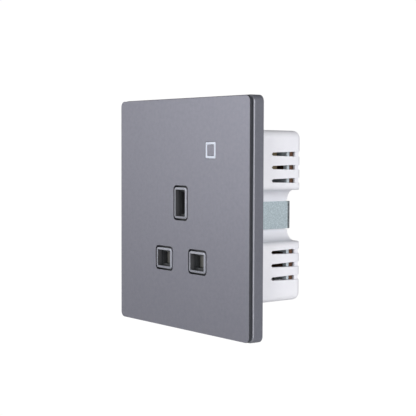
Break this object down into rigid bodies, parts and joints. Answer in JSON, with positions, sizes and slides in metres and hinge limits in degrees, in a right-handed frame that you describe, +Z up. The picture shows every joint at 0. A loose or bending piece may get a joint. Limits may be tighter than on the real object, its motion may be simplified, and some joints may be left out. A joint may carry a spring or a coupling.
{
  "type": "smart wall socket",
  "caption": "Flush smart wall socket with a pull-off front panel, shuttered rectangular-pin apertures, touch key ring, steel mounting strap and vented rear housing.",
  "frame": {"origin": "centre of the wall plane, which is the back face of the mounting frame, level with the middle of the front plate", "axes": "+X to the right seen from the front, +Y back into the wall, +Z up; the front faces -Y"},
  "size_m": [0.086, 0.0373, 0.09],
  "materials": {
    "panel_paint": "metallic grey paint, satin",
    "frame_paint": "metallic grey paint, satin",
    "light_guide": "milky light guide",
    "collar_plastic": "satin silver-grey moulding",
    "insert_plastic": "charcoal moulding",
    "shutter_plastic": "pale nylon",
    "spring_steel": "drawn wire",
    "carrier_plastic": "dark heat-proof moulding",
    "contact_brass": "stamped strip",
    "contact_bronze": "phosphor bronze strip",
    "phenolic_board": "brown paper phenolic board",
    "retainer_plastic": "pale grey moulding",
    "relay_case": "black moulded case",
    "ferrite": "sintered ferrite",
    "winding_tape": "yellow polyester tape",
    "capacitor_sleeve": "black shrink sleeve",
    "film_capacitor_case": "beige box case",
    "varistor_coating": "blue dipped coating",
    "fuse_case": "ceramic body",
    "glass_board": "green glass-fibre board",
    "tinned_steel": "tin plate",
    "white_plastic": "white flame-retardant moulding, fine texture",
    "galvanised_steel": "zinc coated, fine spangle",
    "screw_steel": "zinc plated"
  },
  "bodies": {
    "root": {"mounting_frame": "frame_paint", "socket_insert": "insert_plastic", "earth_collar": "collar_plastic", "neutral_collar": "collar_plastic", "live_collar": "collar_plastic", "shutter_spring": "spring_steel", "contact_carrier": "carrier_plastic", "earth_contact": "contact_brass", "neutral_contact": "contact_bronze", "live_contact": "contact_bronze", "neutral_terminal_bar": "contact_brass", "earth_terminal_bar": "contact_brass", "live_terminal_bar": "contact_brass", "power_board": "phenolic_board", "board_retainer": "retainer_plastic", "relay": "relay_case", "transformer_core": "ferrite", "transformer_coil": "winding_tape", "bulk_capacitor": "capacitor_sleeve", "film_capacitor": "film_capacitor_case", "varistor": "varistor_coating", "choke": "ferrite", "fuse": "fuse_case", "board_header": "relay_case", "control_board": "glass_board", "radio_module": "glass_board", "radio_shield": "tinned_steel", "touch_spring": "spring_steel", "indicator_light": "light_guide", "rear_housing": "white_plastic", "case_screw_1": "screw_steel", "case_screw_2": "screw_steel", "case_screw_3": "screw_steel", "case_screw_4": "screw_steel", "mounting_strap": "galvanised_steel", "strap_screw": "screw_steel"},
    "panel": {"front_panel": "panel_paint", "indicator_ring": "light_guide", "touch_pad": "panel_paint"},
    "shutter": {"shutter": "shutter_plastic"},
    "neutral_screw": {"neutral_terminal_screw": "screw_steel"},
    "neutral_clamp": {"neutral_terminal_clamp": "tinned_steel"},
    "earth_screw": {"earth_terminal_screw": "screw_steel"},
    "earth_clamp": {"earth_terminal_clamp": "tinned_steel"},
    "live_screw": {"live_terminal_screw": "screw_steel"},
    "live_clamp": {"live_terminal_clamp": "tinned_steel"}
  },
  "joints": [
    {"name": "panel_pull", "type": "slide", "parent": "root", "child": "panel", "axis": [0, -1, 0], "range_m": [0, 0.03]},
    {"name": "shutter_slide", "type": "slide", "parent": "root", "child": "shutter", "axis": [0, 0, -1], "range_m": [0, 0.0056], "stiffness_N_per_m": 120, "springref_m": -0.004, "deforming": ["shutter_spring"]},
    {"name": "neutral_clamp_rise", "type": "slide", "parent": "root", "child": "neutral_clamp", "axis": [0, 1, 0], "range_m": [0, 0.0035]},
    {"name": "neutral_screw_turn", "type": "hinge", "parent": "root", "child": "neutral_screw", "pos_m": [-0.018, 0.0175, -0.02754], "axis": [0, -1, 0], "range_deg": [0, 2102]},
    {"name": "earth_clamp_rise", "type": "slide", "parent": "root", "child": "earth_clamp", "axis": [0, 1, 0], "range_m": [0, 0.0035]},
    {"name": "earth_screw_turn", "type": "hinge", "parent": "root", "child": "earth_screw", "pos_m": [0, 0.0175, -0.02754], "axis": [0, -1, 0], "range_deg": [0, 2102]},
    {"name": "live_clamp_rise", "type": "slide", "parent": "root", "child": "live_clamp", "axis": [0, 1, 0], "range_m": [0, 0.0035]},
    {"name": "live_screw_turn", "type": "hinge", "parent": "root", "child": "live_screw", "pos_m": [0.018, 0.0175, -0.02754], "axis": [0, -1, 0], "range_deg": [0, 2102]}
  ],
  "couplings": [
    {"joint": "neutral_screw_turn", "follows": "neutral_clamp_rise", "rad_per_m": 10472},
    {"joint": "earth_screw_turn", "follows": "earth_clamp_rise", "rad_per_m": 10472},
    {"joint": "live_screw_turn", "follows": "live_clamp_rise", "rad_per_m": 10472}
  ]
}
